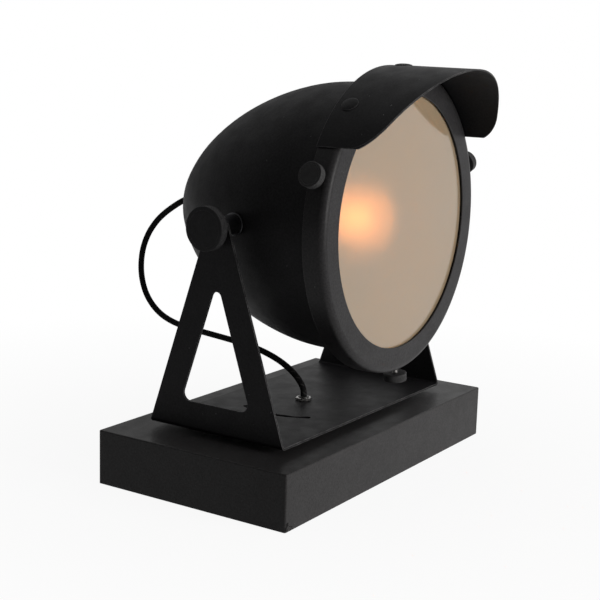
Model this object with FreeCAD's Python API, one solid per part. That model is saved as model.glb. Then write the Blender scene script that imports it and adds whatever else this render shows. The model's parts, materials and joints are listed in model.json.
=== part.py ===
import FreeCAD, Part
import math
import os

# Tabletop searchlight lamp: a flat steel base, a yoke with two A-shaped legs that swivels on it, and
# a spun bowl with a visor that tilts between the legs. Millimetres, +Z up, the lens faces -Y. The
# origin is on the swivel axis, on the underside of the base pad.

V = FreeCAD.Vector
X_AXIS = V(1, 0, 0)
Y_AXIS = V(0, 1, 0)
Z_AXIS = V(0, 0, 1)

# Base
BASE_WIDTH = 356.0
BASE_DEPTH = 201.0
BASE_TOP = 50.0
BASE_SHEET = 2.0
BASE_CORNER_RADIUS = 1.6
BASE_EDGE_RADIUS = 1.2
RIM_LIFT = 0.6
PAD_THICK = 2.0
COVER_THICK = 1.5
COVER_GAP = 0.3
POST_RADIUS = 5.0
POST_INSET = 16.0
COVER_SCREW_RADIUS = 2.0
COVER_SCREW_LENGTH = 14.0
COVER_SCREW_HEAD_RADIUS = 3.8
COVER_SCREW_HEAD_THICK = 1.5
PAD_HOLE_GAP = 1.0

# Swivel between base and yoke
YOKE_LIFT = 5.0
SPACER_RADIUS = 32.0
STEM_RADIUS = 5.0
STEM_BORE_RADIUS = 3.5
NUT_FLATS = 14.0
NUT_THICK = 3.0
STEM_PROUD = 1.0
BUSH_RADIUS = 10.0
BUSH_FLANGE_RADIUS = 15.0
BUSH_FLANGE_THICK = 3.0
SPRING_WASHER_RADIUS = 12.0
SPRING_WASHER_THICK = 1.5
LOCK_NUT_FLATS = 17.0
LOCK_NUT_THICK = 6.0
STEM_BELOW_NUT = 4.0
SLOT_RADIUS = 60.0
SLOT_WIDTH = 6.4
SLOT_HALF_ANGLE = 33.5
STOP_PIN_TURN = 3.0
STOP_PIN_RADIUS = 2.5
STOP_PIN_PROUD = 1.5
STOP_PIN_CHAMFER = 0.5

# Yoke
YOKE_SHEET = 2.0
YOKE_BEND_RADIUS = 2.0
YOKE_HEAD_GAP = 3.3
PLATE_DEPTH = 143.0
AXIS_ABOVE_PLATE = 181.0
LEG_TOP_RADIUS = 10.5
LEG_BAND = 24.8
CUTOUT_FLOOR = 24.5
CUTOUT_CORNER_RADIUS = 7.0
CUTOUT_TOP_RADIUS = 5.0

# Bowl
BOWL_RADIUS = 121.8
BOWL_DOME = 174.5
BOWL_DEPTH_POWER = 1.75
BOWL_RADIUS_POWER = 1.65
BOWL_SHEET = 1.5
THROAT_FLARE = 1.5
THROAT_LENGTH = 42.0
STEM_SEAT_RADIUS = 9.0
FLANGE_WIDTH = 10.7
FLANGE_BEND_RADIUS = 3.0
COLLAR_BEND_RADIUS = 0.5

# Bezel, glass and gaskets
BEZEL_FRONT = 102.3
BEZEL_DEPTH = 21.0
BEZEL_GAP = 0.2
BAND_SHEET = 2.0
FACE_SHEET = 1.5
FACE_WIDTH = 23.2
SHOULDER_RADIUS = 6.0
FLANGE_SET = 1.3
FRONT_GASKET_THICK = 1.3
GLASS_THICK = 3.0
REAR_GASKET_THICK = 1.0
GASKET_WIDTH = 7.0
GASKET_LIP_GAP = 1.0
GLASS_EDGE_GAP = 0.2

# Thumbscrews of the bezel, placed round the lens from +X towards +Z
THUMB_ANGLES = {"right": 18.0, "left": 160.0, "bottom": 276.0}
THUMB_SET = 12.4
THUMB_SCREW_RADIUS = 2.5
THUMB_HOLE_GAP = 0.1
THUMB_NECK = 6.5
THUMB_HEAD_RADIUS = 10.75
THUMB_HEAD_THICK = 7.0
THUMB_INSERT = 5.0
THUMB_TIP_PROUD = 1.5
THUMB_TIP_CHAMFER = 0.6
THUMB_EDGE_RADIUS = 0.8
WELD_NUT_FLATS = 8.0
WELD_NUT_THICK = 4.0
WELD_NUT_GAP = 0.1

# Visor
VISOR_SHEET = 1.3
VISOR_GAP = 0.1
VISOR_HALF_ANGLE = 58.4
VISOR_OVERHANG = 0.8
VISOR_REACH = 63.0
VISOR_DROOP = 1.0
VISOR_FRONT_RADIUS = 205.0
VISOR_CORNER_RADIUS = 34.0
RIVET_ANGLES = (50.0, 90.0, 130.0)
RIVET_SET = 8.7
RIVET_HEAD_RADIUS = 7.6
RIVET_HEAD_THICK = 1.6
RIVET_DOME_RADIUS = 1.3
RIVET_SHANK_RADIUS = 2.0

# Tilt pivots and clamp knobs
STUD_RADIUS = 4.0
PIVOT_BOSS_RADIUS = 9.5
PIVOT_BOSS_STAND = 3.0
BACKING_RADIUS = 9.0
BACKING_THICK = 5.0
PIVOT_NUT_FLATS = 13.0
PIVOT_NUT_THICK = 6.5
STUD_BEHIND_NUT = 1.0
BUSH_WASHER_RADIUS = 10.0
BUSH_WASHER_THICK = 1.2
TILT_BUSH_RADIUS = 8.5
TILT_BUSH_GAP = 0.1
KNOB_WASHER_RADIUS = 10.0
KNOB_WASHER_THICK = 1.5
KNOB_HUB_RADIUS = 12.0
KNOB_HUB_LENGTH = 9.5
KNOB_RADIUS = 19.0
KNOB_THICK = 8.5
KNOB_EDGE_RADIUS = 1.8
KNOB_INSERT_RADIUS = 7.0
KNOB_INSERT_DEPTH = 4.5
STUD_END_GAP = 1.5

# Lamp stem, holder and bulb
BULB_LENS_GAP = 16.5
BULB_RADIUS = 30.0
BULB_LENGTH = 80.0
BULB_NECK_RADIUS = 12.3
BULB_WALL = 1.0
CAP_RADIUS = 13.2
CAP_LENGTH = 30.0
CAP_CONTACT_RADIUS = 4.4
CAP_CONTACT_LENGTH = 3.0
CAP_CONE_LENGTH = 2.0
CAP_EDGE_RADIUS = 0.5
CAP_NECK_OVERLAP = 2.0
SHELL_GAP = 0.1
SHELL_WALL = 0.6
HOLDER_BORE_GAP = 0.05
HOLDER_RADIUS = 20.0
HOLDER_FLOOR = 12.0
HOLDER_MOUTH_RADIUS = 1.5
HOLDER_CAP_LENGTH = 12.0
HOLDER_CAP_NECK_RADIUS = 9.0
HOLDER_CAP_WALL = 4.0
HOLDER_CAP_SHOULDER_RADIUS = 3.0
HOLDER_CAP_ROOT_RADIUS = 2.0
HOLDER_CAP_END_RADIUS = 1.0
STEM_INTO_HOLDER = 8.0

# Cords
CORD_DIAMETER = 6.0
CORD_ARC_SHARE = 0.45
GROMMET_X = 110.0
GROMMET_HEIGHT = 24.0
GROMMET_HOLE_RADIUS = 3.5
GROMMET_RADIUS = 6.0
GROMMET_FLANGE_RADIUS = 8.5
GROMMET_FLANGE_THICK = 2.0
BLOCK_X = 72.0
BLOCK_Y = 30.0
BLOCK_LENGTH = 34.0
BLOCK_DEPTH = 18.0
BLOCK_HEIGHT = 14.0
BLOCK_SCREW_SPACING = 16.0
BLOCK_SCREW_RADIUS = 1.5
BLOCK_SCREW_HEAD_RADIUS = 3.0
BLOCK_SCREW_HEAD_THICK = 1.5
LEAD_COVER_GAP = 0.3
LEAD_BEND_DROP = 10.0
LEAD_BEND_X = 8.5
LEAD_BEND_Y = 9.0
LEAD_SQUARE_X = 40.0

# Clearance of a shaft, pin or screw that turns in its hole
RUNNING_GAP = 0.05

# Heights
COVER_TOP = PAD_THICK + COVER_THICK
CEILING = BASE_TOP - BASE_SHEET
PLATE_BOTTOM = BASE_TOP + YOKE_LIFT
PLATE_TOP = PLATE_BOTTOM + YOKE_SHEET
AXIS_Z = PLATE_TOP + AXIS_ABOVE_PLATE
STEM_TOP = PLATE_TOP + NUT_THICK + STEM_PROUD
BUSH_BOTTOM = CEILING - BUSH_FLANGE_THICK
SPRING_WASHER_BOTTOM = BUSH_BOTTOM - SPRING_WASHER_THICK
LOCK_NUT_BOTTOM = SPRING_WASHER_BOTTOM - LOCK_NUT_THICK
STEM_BOTTOM = LOCK_NUT_BOTTOM - STEM_BELOW_NUT

# Radii about the lens axis
THROAT_RADIUS = BOWL_RADIUS + THROAT_FLARE
COLLAR_RADIUS = THROAT_RADIUS + FLANGE_WIDTH
BAND_INNER_RADIUS = COLLAR_RADIUS + BEZEL_GAP
BEZEL_RADIUS = BAND_INNER_RADIUS + BAND_SHEET
LENS_RADIUS = BEZEL_RADIUS - FACE_WIDTH
INNER_SHOULDER_RADIUS = SHOULDER_RADIUS - BAND_SHEET
THUMB_HEAD_INNER = BEZEL_RADIUS + THUMB_NECK
VISOR_INNER_RADIUS = BEZEL_RADIUS + VISOR_GAP
VISOR_RADIUS = VISOR_INNER_RADIUS + VISOR_SHEET

# Places along the lens axis, in front of the tilt axis below zero
BEZEL_REAR = BEZEL_DEPTH - BEZEL_FRONT
FLANGE_REAR = BEZEL_REAR - FLANGE_SET
BOWL_START = FLANGE_REAR + THROAT_LENGTH
BOWL_TIP = BOWL_START + BOWL_DOME
FACE_BACK = FACE_SHEET - BEZEL_FRONT
GLASS_FRONT = FACE_BACK + FRONT_GASKET_THICK
GLASS_BACK = GLASS_FRONT + GLASS_THICK
COLLAR_END = GLASS_BACK + REAR_GASKET_THICK
THUMB_Y = THUMB_SET - BEZEL_FRONT
RIVET_Y = RIVET_SET - BEZEL_FRONT
BULB_TOP = GLASS_BACK + BULB_LENS_GAP
BULB_NECK_END = BULB_TOP + BULB_LENGTH
CAP_START = BULB_NECK_END - CAP_NECK_OVERLAP
CAP_END = CAP_START + CAP_LENGTH
HOLDER_MOUTH = BULB_NECK_END
HOLDER_BACK = CAP_END + HOLDER_FLOOR
HOLDER_CAP_BACK = HOLDER_BACK + HOLDER_CAP_LENGTH
LAMP_STEM_START = HOLDER_CAP_BACK - STEM_INTO_HOLDER
LAMP_STEM_END = BOWL_TIP + NUT_THICK + STEM_PROUD

# Places across the lamp, to either side
LEG_INNER_X = BEZEL_RADIUS + YOKE_HEAD_GAP
LEG_OUTER_X = LEG_INNER_X + YOKE_SHEET
KNOB_WASHER_OUTER_X = LEG_OUTER_X + KNOB_WASHER_THICK
KNOB_BACK_X = KNOB_WASHER_OUTER_X + KNOB_HUB_LENGTH
KNOB_FACE_X = KNOB_BACK_X + KNOB_THICK
KNOB_INSERT_END_X = KNOB_BACK_X + KNOB_INSERT_DEPTH

# The free cord from the lamp stem to the swivel stem: a loop behind the lamp and a long low return
CORD_ROUTE = [
    V(0, LAMP_STEM_END, AXIS_Z),
    V(0, 143, 238),
    V(0, 148, 236.7),
    V(0, 154, 233.6),
    V(0.5, 162.5, 228.7),
    V(1, 173.5, 221.5),
    V(1.5, 185, 212),
    V(2, 197, 196.8),
    V(2.5, 204.9, 177.6),
    V(3, 206.4, 155.4),
    V(3, 200, 135),
    V(3, 186, 119.6),
    V(2.5, 167.5, 111),
    V(1.5, 143.5, 107.2),
    V(1, 113, 105),
    V(0, 80, 102.6),
    V(-0.5, 54, 99.2),
    V(0, 35.5, 93.8),
    V(0, 22, 88),
    V(0, 11.5, 81.2),
    V(0, 4.4, 74.3),
    V(0, 1.1, 69),
    V(0, 0, 65),
    V(0, 0, STEM_TOP),
]


def save(name, shape):
    """Write one sub-part to parts/NAME.step."""
    if shape.ShapeType == "Compound" and len(shape.Solids) == 1:
        shape = shape.Solids[0]
    shape.exportStep("parts/%s.step" % name)


def group(shapes):
    """Separate solids that share one node."""
    return Part.makeCompound([solid for shape in shapes for solid in shape.Solids])


def rod(start, direction, radius, length):
    return Part.makeCylinder(radius, length, start, direction)


def tube(start, direction, outer, inner, length):
    return rod(start, direction, outer, length).cut(rod(start, direction, inner, length))


def hexagon(start, direction, flats, length, bore):
    """Hexagon nut with its first face at start. The across-flats line lies along the lens axis or X."""
    corner = flats / math.sqrt(3)
    points = []
    for index in range(7):
        angle = math.radians(60 * index)
        points.append(V(corner * math.cos(angle), corner * math.sin(angle), 0))
    prism = Part.Face(Part.makePolygon(points)).extrude(V(0, 0, length))
    cone_radius = corner * 0.97
    rounder = Part.makeCylinder(cone_radius, length)
    prism = prism.common(rounder).cut(Part.makeCylinder(bore, length))
    prism.Placement = FreeCAD.Placement(start, FreeCAD.Rotation(Z_AXIS, direction))
    return prism


def corner_arc(before, corner, after, radius):
    """The arc that rounds one corner, and its first and last points."""
    to_before = (before - corner).normalize()
    to_after = (after - corner).normalize()
    half = to_before.getAngle(to_after) / 2
    bisector = (to_before + to_after).normalize()
    reach = radius / math.tan(half)
    first = corner + to_before * reach
    last = corner + to_after * reach
    middle = corner + bisector * (radius / math.sin(half) - radius)
    return first, last, Part.Arc(first, middle, last).toShape()


def outline(corners):
    """Closed wire through corners (point, radius), each corner rounded by its own radius."""
    count = len(corners)
    pieces = []
    for index, (corner, radius) in enumerate(corners):
        before = corners[index - 1][0]
        after = corners[(index + 1) % count][0]
        if radius > 0:
            pieces.append(corner_arc(before, corner, after, radius))
        else:
            pieces.append((corner, corner, None))
    edges = []
    for index, (first, last, arc) in enumerate(pieces):
        if arc is not None:
            edges.append(arc)
        start_of_next = pieces[(index + 1) % count][0]
        if last.distanceToPoint(start_of_next) > 1e-4:
            edges.append(Part.makeLine(last, start_of_next))
    return Part.Wire(edges)


def turned(corners):
    """Solid of revolution about the lens axis from corners (radius, y, rounding)."""
    wire = outline([(V(r, y, AXIS_Z), rounding) for r, y, rounding in corners])
    return Part.Face(wire).revolve(V(0, 0, AXIS_Z), Y_AXIS, 360)


def around_lens(angle, radius, y):
    """Point at an angle from +X towards +Z about the lens axis."""
    turn = math.radians(angle)
    return V(radius * math.cos(turn), y, AXIS_Z + radius * math.sin(turn))


def radial(angle):
    turn = math.radians(angle)
    return V(math.cos(turn), 0, math.sin(turn))


# Base


def base_housing():
    width = BASE_WIDTH
    depth = BASE_DEPTH
    corner = V(-width / 2, -depth / 2, RIM_LIFT)
    body = Part.makeBox(width, depth, BASE_TOP - RIM_LIFT, corner)
    upright = [e for e in body.Edges if abs(e.tangentAt(0).z) > 0.9]
    body = body.makeFillet(BASE_CORNER_RADIUS, upright)
    top = [e for e in body.Edges if e.BoundBox.ZMin > BASE_TOP - 0.01]
    body = body.makeFillet(BASE_EDGE_RADIUS, top)
    hollow_corner = V(BASE_SHEET - width / 2, BASE_SHEET - depth / 2, RIM_LIFT)
    hollow = Part.makeBox(
        width - 2 * BASE_SHEET, depth - 2 * BASE_SHEET, CEILING - RIM_LIFT, hollow_corner
    )
    body = body.cut(hollow)
    for x, y in post_places():
        post = rod(V(x, y, COVER_TOP), Z_AXIS, POST_RADIUS, CEILING - COVER_TOP)
        body = body.fuse(post)
        body = body.cut(rod(V(x, y, COVER_TOP), Z_AXIS, COVER_SCREW_RADIUS, COVER_SCREW_LENGTH))
    body = body.cut(rod(V(0, 0, CEILING), Z_AXIS, BUSH_RADIUS, BASE_SHEET))
    body = body.cut(rod(pin_place(CEILING), Z_AXIS, STOP_PIN_RADIUS, BASE_SHEET))
    inside_back = V(GROMMET_X, depth / 2 - BASE_SHEET, GROMMET_HEIGHT)
    return body.cut(rod(inside_back, Y_AXIS, GROMMET_RADIUS, BASE_SHEET))


def post_places():
    places = []
    for side in (-1, 1):
        for end in (-1, 1):
            x = side * (BASE_WIDTH / 2 - POST_INSET)
            y = end * (BASE_DEPTH / 2 - POST_INSET)
            places.append((x, y))
    return places


def flat_sheet(bottom, thick, hole_radius):
    """Cover or pad: a plate that fits inside the housing, with a hole at each post."""
    inset = BASE_SHEET + COVER_GAP
    width = BASE_WIDTH - 2 * inset
    depth = BASE_DEPTH - 2 * inset
    plate = Part.makeBox(width, depth, thick, V(-width / 2, -depth / 2, bottom))
    upright = [e for e in plate.Edges if abs(e.tangentAt(0).z) > 0.9]
    plate = plate.makeFillet(BASE_CORNER_RADIUS, upright)
    for x, y in post_places():
        plate = plate.cut(rod(V(x, y, bottom), Z_AXIS, hole_radius, thick))
    return plate


def cover_screws():
    screws = []
    for x, y in post_places():
        head_bottom = PAD_THICK - COVER_SCREW_HEAD_THICK
        head = rod(V(x, y, head_bottom), Z_AXIS, COVER_SCREW_HEAD_RADIUS, COVER_SCREW_HEAD_THICK)
        shank_length = COVER_THICK + COVER_SCREW_LENGTH
        screws.append(head.fuse(rod(V(x, y, PAD_THICK), Z_AXIS, COVER_SCREW_RADIUS, shank_length)))
    return group(screws)


def swivel_bush():
    flange = rod(V(0, 0, BUSH_BOTTOM), Z_AXIS, BUSH_FLANGE_RADIUS, BUSH_FLANGE_THICK)
    sleeve = rod(V(0, 0, BUSH_BOTTOM), Z_AXIS, BUSH_RADIUS, PLATE_BOTTOM - BUSH_BOTTOM)
    bore = rod(V(0, 0, BUSH_BOTTOM), Z_AXIS, STEM_RADIUS + RUNNING_GAP, PLATE_BOTTOM - BUSH_BOTTOM)
    return flange.fuse(sleeve).cut(bore)


def pin_place(height):
    """A point on the stop pin's axis, a little ahead of the -X side."""
    turn = math.radians(STOP_PIN_TURN)
    return V(-SLOT_RADIUS * math.cos(turn), -SLOT_RADIUS * math.sin(turn), height)


def stop_pin():
    length = PLATE_TOP + STOP_PIN_PROUD - CEILING
    pin = rod(pin_place(CEILING), Z_AXIS, STOP_PIN_RADIUS, length)
    return pin.makeChamfer(STOP_PIN_CHAMFER, [e for e in pin.Edges if e.BoundBox.ZMin > PLATE_TOP])


def inlet_grommet():
    inside = V(GROMMET_X, BASE_DEPTH / 2 - BASE_SHEET, GROMMET_HEIGHT)
    outside = V(GROMMET_X, BASE_DEPTH / 2, GROMMET_HEIGHT)
    neck = rod(inside, Y_AXIS, GROMMET_RADIUS, BASE_SHEET)
    outer_flange = rod(outside, Y_AXIS, GROMMET_FLANGE_RADIUS, GROMMET_FLANGE_THICK)
    inner_flange = rod(inside, -Y_AXIS, GROMMET_FLANGE_RADIUS, GROMMET_FLANGE_THICK)
    rim = [e for e in outer_flange.Edges if e.BoundBox.YMin > BASE_DEPTH / 2 + 0.01]
    outer_flange = outer_flange.makeFillet(GROMMET_FLANGE_THICK / 2, rim)
    length = BASE_SHEET + 2 * GROMMET_FLANGE_THICK
    hole = rod(inside - Y_AXIS * GROMMET_FLANGE_THICK, Y_AXIS, GROMMET_HOLE_RADIUS, length)
    return neck.fuse(outer_flange).fuse(inner_flange).cut(hole)


def terminal_block():
    corner = V(BLOCK_X, BLOCK_Y - BLOCK_DEPTH / 2, COVER_TOP)
    block = Part.makeBox(BLOCK_LENGTH, BLOCK_DEPTH, BLOCK_HEIGHT, corner)
    for x in block_screw_places():
        block = block.cut(rod(V(x, BLOCK_Y, COVER_TOP), Z_AXIS, BLOCK_SCREW_RADIUS, BLOCK_HEIGHT))
    return block


def block_screw_places():
    middle = BLOCK_X + BLOCK_LENGTH / 2
    return (middle - BLOCK_SCREW_SPACING / 2, middle + BLOCK_SCREW_SPACING / 2)


def terminal_screws():
    screws = []
    for x in block_screw_places():
        top = V(x, BLOCK_Y, COVER_TOP + BLOCK_HEIGHT)
        head = rod(top, Z_AXIS, BLOCK_SCREW_HEAD_RADIUS, BLOCK_SCREW_HEAD_THICK)
        screws.append(head.fuse(rod(top, -Z_AXIS, BLOCK_SCREW_RADIUS, BLOCK_HEIGHT)))
    return group(screws)


# Yoke


def yoke_bracket():
    """U-shaped sheet, trimmed to the A shape seen from the side, with a triangle cut in each leg."""
    bend = YOKE_BEND_RADIUS
    top = AXIS_Z + 2 * LEG_TOP_RADIUS
    section = [
        (V(-LEG_OUTER_X, 0, top), 0),
        (V(-LEG_OUTER_X, 0, PLATE_BOTTOM), bend + YOKE_SHEET),
        (V(LEG_OUTER_X, 0, PLATE_BOTTOM), bend + YOKE_SHEET),
        (V(LEG_OUTER_X, 0, top), 0),
        (V(LEG_INNER_X, 0, top), 0),
        (V(LEG_INNER_X, 0, PLATE_TOP), bend),
        (V(-LEG_INNER_X, 0, PLATE_TOP), bend),
        (V(-LEG_INNER_X, 0, top), 0),
    ]
    strip = Part.Face(outline(section)).extrude(V(0, PLATE_DEPTH, 0))
    strip.translate(V(0, -PLATE_DEPTH / 2, 0))
    half_depth = PLATE_DEPTH / 2
    to_axis = math.hypot(half_depth, AXIS_ABOVE_PLATE)
    lean = math.atan2(half_depth, AXIS_ABOVE_PLATE) - math.asin(LEG_TOP_RADIUS / to_axis)
    apex = AXIS_Z + LEG_TOP_RADIUS / math.sin(lean)
    side = [
        (V(-LEG_OUTER_X, -half_depth, PLATE_BOTTOM), 0),
        (V(-LEG_OUTER_X, -half_depth, PLATE_TOP), 0),
        (V(-LEG_OUTER_X, 0, apex), LEG_TOP_RADIUS),
        (V(-LEG_OUTER_X, half_depth, PLATE_TOP), 0),
        (V(-LEG_OUTER_X, half_depth, PLATE_BOTTOM), 0),
    ]
    across = V(2 * LEG_OUTER_X, 0, 0)
    bracket = strip.common(Part.Face(outline(side)).extrude(across))
    floor = PLATE_TOP + CUTOUT_FLOOR
    inner_apex = apex - LEG_BAND / math.sin(lean)
    half_width = (inner_apex - floor) * math.tan(lean)
    triangle = [
        (V(-LEG_OUTER_X, -half_width, floor), CUTOUT_CORNER_RADIUS),
        (V(-LEG_OUTER_X, 0, inner_apex), CUTOUT_TOP_RADIUS),
        (V(-LEG_OUTER_X, half_width, floor), CUTOUT_CORNER_RADIUS),
    ]
    bracket = bracket.cut(Part.Face(outline(triangle)).extrude(across))
    bracket = bracket.cut(rod(V(0, 0, PLATE_BOTTOM), Z_AXIS, STEM_RADIUS, YOKE_SHEET))
    stud_hole = rod(V(-LEG_OUTER_X, 0, AXIS_Z), X_AXIS, STUD_RADIUS + RUNNING_GAP, 2 * LEG_OUTER_X)
    return bracket.cut(stud_hole).cut(arc_slot())


def arc_slot():
    """The slot for the stop pin, round the swivel axis and centred on the pin."""
    half = SLOT_WIDTH / 2
    corner = V(-SLOT_RADIUS - half, 0, PLATE_BOTTOM)
    section = Part.makePolygon([
        corner,
        corner + V(SLOT_WIDTH, 0, 0),
        corner + V(SLOT_WIDTH, 0, YOKE_SHEET),
        corner + V(0, 0, YOKE_SHEET),
        corner,
    ])
    start = Part.Face(section)
    start.rotate(V(0, 0, 0), Z_AXIS, STOP_PIN_TURN - SLOT_HALF_ANGLE)
    slot = start.revolve(V(0, 0, 0), Z_AXIS, 2 * SLOT_HALF_ANGLE)
    for angle in (-SLOT_HALF_ANGLE, SLOT_HALF_ANGLE):
        end = rod(pin_place(PLATE_BOTTOM), Z_AXIS, half, YOKE_SHEET)
        end.rotate(V(0, 0, 0), Z_AXIS, angle)
        slot = slot.fuse(end)
    return slot


# Bowl


def bowl_radius(y):
    """Outer radius of the bowl's dome at a place along the lens axis."""
    share = (y - BOWL_START) / BOWL_DOME
    return BOWL_RADIUS * (1 - share**BOWL_DEPTH_POWER) ** (1 / BOWL_RADIUS_POWER)


def dome_points(inset):
    """Points of the dome's profile, moved inwards by inset, from the throat to the flat at the tip."""
    points = []
    steps = 12
    for index in range(steps + 1):
        turn = math.radians(90.0 * (1 - index / steps))
        y = BOWL_START + BOWL_DOME * math.cos(turn) ** (2 / BOWL_DEPTH_POWER)
        r = BOWL_RADIUS * math.sin(turn) ** (2 / BOWL_RADIUS_POWER)
        points.append((r, y))
    moved = [(BOWL_RADIUS - inset, BOWL_START)]
    for index in range(1, steps):
        r0, y0 = points[index - 1]
        r1, y1 = points[index + 1]
        run = math.hypot(r1 - r0, y1 - y0)
        r, y = points[index]
        moved.append((r - inset * (y1 - y0) / run, y + inset * (r1 - r0) / run))
    moved = [point for point in moved if point[0] > 1.5 * STEM_SEAT_RADIUS]
    moved.append((STEM_SEAT_RADIUS, BOWL_TIP - inset))
    return moved


def dome_curve(inset):
    """The dome's profile as one smooth curve that starts along the throat and ends across the axis."""
    points = [V(r, y, AXIS_Z) for r, y in dome_points(inset)]
    along_throat = V(-THROAT_FLARE, THROAT_LENGTH, 0).normalize() * BOWL_RADIUS
    curve = Part.BSplineCurve()
    curve.interpolate(Points=points, InitialTangent=along_throat, FinalTangent=-X_AXIS * BOWL_RADIUS)
    return curve.toShape()


def bowl_shell():
    """Spun dome, throat, flange and collar in one sheet."""
    sheet = BOWL_SHEET
    bend = FLANGE_BEND_RADIUS
    outer = dome_curve(0)
    inner = dome_curve(sheet)
    tip = [
        V(STEM_SEAT_RADIUS, BOWL_TIP, AXIS_Z),
        V(STEM_RADIUS, BOWL_TIP, AXIS_Z),
        V(STEM_RADIUS, BOWL_TIP - sheet, AXIS_Z),
        V(STEM_SEAT_RADIUS, BOWL_TIP - sheet, AXIS_Z),
    ]
    inner_start = V(BOWL_RADIUS - sheet, BOWL_START, AXIS_Z)
    outer_start = V(BOWL_RADIUS, BOWL_START, AXIS_Z)
    corners = [
        (V(THROAT_RADIUS, FLANGE_REAR, AXIS_Z), bend),
        (V(COLLAR_RADIUS, FLANGE_REAR, AXIS_Z), sheet + COLLAR_BEND_RADIUS),
        (V(COLLAR_RADIUS, COLLAR_END, AXIS_Z), 0),
        (V(COLLAR_RADIUS - sheet, COLLAR_END, AXIS_Z), 0),
        (V(COLLAR_RADIUS - sheet, FLANGE_REAR - sheet, AXIS_Z), COLLAR_BEND_RADIUS),
        (V(THROAT_RADIUS - sheet, FLANGE_REAR - sheet, AXIS_Z), bend + sheet),
    ]
    points = [outer_start] + [point for point, rounding in corners] + [inner_start]
    edges = []
    last = outer_start
    for index, (point, rounding) in enumerate(corners):
        first = point
        after = point
        arc = None
        if rounding > 0:
            first, after, arc = corner_arc(points[index], point, points[index + 2], rounding)
        edges.append(Part.makeLine(last, first))
        if arc is not None:
            edges.append(arc)
        last = after
    edges.append(Part.makeLine(last, inner_start))
    edges += [inner, outer]
    edges += Part.makePolygon(tip).Edges
    profile = Part.Face(Part.Wire(Part.__sortEdges__(edges)))
    bowl = profile.revolve(V(0, 0, AXIS_Z), Y_AXIS, 360)
    for angle in THUMB_ANGLES.values():
        hole_start = around_lens(angle, COLLAR_RADIUS - 2 * sheet, THUMB_Y)
        hole = rod(hole_start, radial(angle), THUMB_SCREW_RADIUS + THUMB_HOLE_GAP, 3 * sheet)
        bowl = bowl.cut(hole)
    return bowl.cut(rod(V(-BOWL_RADIUS, 0, AXIS_Z), X_AXIS, STUD_RADIUS, 2 * BOWL_RADIUS))


def dome_filled(inset):
    """The dome's inside or outside as a filled solid, to trim what is seated on it."""
    curve = dome_curve(inset)
    front = Part.makeLine(V(0, BOWL_START, AXIS_Z), V(BOWL_RADIUS - inset, BOWL_START, AXIS_Z))
    end = V(STEM_SEAT_RADIUS, BOWL_TIP - inset, AXIS_Z)
    tip = Part.makeLine(end, V(0, BOWL_TIP - inset, AXIS_Z))
    axis = Part.makeLine(V(0, BOWL_TIP - inset, AXIS_Z), V(0, BOWL_START, AXIS_Z))
    return Part.Face(Part.Wire([front, curve, tip, axis])).revolve(V(0, 0, AXIS_Z), Y_AXIS, 360)


# Bezel, glass and gaskets


def bezel_ring():
    corners = [
        (BEZEL_RADIUS, BEZEL_REAR, BAND_SHEET / 4),
        (BEZEL_RADIUS, -BEZEL_FRONT, SHOULDER_RADIUS),
        (LENS_RADIUS, -BEZEL_FRONT, FACE_SHEET / 2.5),
        (LENS_RADIUS, FACE_BACK, FACE_SHEET / 2.5),
        (BAND_INNER_RADIUS, FACE_BACK, INNER_SHOULDER_RADIUS),
        (BAND_INNER_RADIUS, BEZEL_REAR, BAND_SHEET / 4),
    ]
    ring = turned(corners)
    for angle in THUMB_ANGLES.values():
        hole_start = around_lens(angle, BAND_INNER_RADIUS - BAND_SHEET, THUMB_Y)
        hole = rod(hole_start, radial(angle), THUMB_SCREW_RADIUS + THUMB_HOLE_GAP, 3 * BAND_SHEET)
        ring = ring.cut(hole)
    for angle in RIVET_ANGLES:
        hole_start = around_lens(angle, BAND_INNER_RADIUS - BAND_SHEET, RIVET_Y)
        ring = ring.cut(rod(hole_start, radial(angle), RIVET_SHANK_RADIUS, 3 * BAND_SHEET))
    return ring


def front_glass():
    """Flat disc, small enough to clear the rounded inner corner between the band and the face."""
    depth = max(INNER_SHOULDER_RADIUS - FRONT_GASKET_THICK, 0)
    corner = INNER_SHOULDER_RADIUS - math.sqrt(INNER_SHOULDER_RADIUS**2 - depth**2)
    radius = BAND_INNER_RADIUS - corner - GLASS_EDGE_GAP
    blank = rod(V(0, GLASS_FRONT, AXIS_Z), Y_AXIS, radius, GLASS_THICK)
    return blank.makeChamfer(GLASS_THICK / 8, blank.Edges)


def front_gasket():
    inner = LENS_RADIUS + GASKET_LIP_GAP
    return tube(V(0, FACE_BACK, AXIS_Z), Y_AXIS, inner + GASKET_WIDTH, inner, FRONT_GASKET_THICK)


def rear_gasket():
    inner = COLLAR_RADIUS - GASKET_WIDTH
    return tube(V(0, GLASS_BACK, AXIS_Z), Y_AXIS, COLLAR_RADIUS, inner, REAR_GASKET_THICK)


def weld_nut(angle):
    outer_face = COLLAR_RADIUS - BOWL_SHEET - WELD_NUT_GAP
    start = around_lens(angle, outer_face, THUMB_Y)
    nut = hexagon(V(0, 0, 0), Z_AXIS, WELD_NUT_FLATS, WELD_NUT_THICK, THUMB_SCREW_RADIUS + RUNNING_GAP)
    inwards = radial(angle) * -1
    turn = FreeCAD.Rotation(inwards.cross(Y_AXIS), Y_AXIS, inwards, "ZYX")
    nut.Placement = FreeCAD.Placement(start, turn)
    return nut


def thumb_head(angle):
    start = around_lens(angle, THUMB_HEAD_INNER, THUMB_Y)
    head = rod(start, radial(angle), THUMB_HEAD_RADIUS, THUMB_HEAD_THICK)
    head = head.makeFillet(THUMB_EDGE_RADIUS, [e for e in head.Edges if e.Closed and len(e.Vertexes) == 1])
    return head.cut(rod(start, radial(angle), THUMB_SCREW_RADIUS, THUMB_INSERT))


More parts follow.
